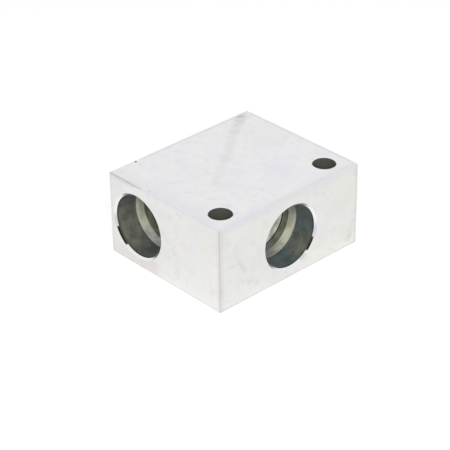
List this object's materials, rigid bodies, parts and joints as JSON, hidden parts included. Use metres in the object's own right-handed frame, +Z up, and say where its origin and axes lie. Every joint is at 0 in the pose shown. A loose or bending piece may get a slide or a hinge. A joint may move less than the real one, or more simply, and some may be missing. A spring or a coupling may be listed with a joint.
{
  "type": "machined port block",
  "caption": "Machined aluminium block with stepped ports in adjoining faces that meet inside at a right angle, and bolt holes right through it.",
  "frame": {"origin": "middle of the bottom face", "axes": "+X along the block's length, away from the face with the side port; +Y from the face with the front port to the plain back; +Z up, along the bolt holes"},
  "size_m": [0.071, 0.06, 0.0345],
  "materials": {
    "machined_aluminium": "fine milled, satin"
  },
  "bodies": {
    "root": {"port_block": "machined_aluminium"}
  },
  "joints": []
}
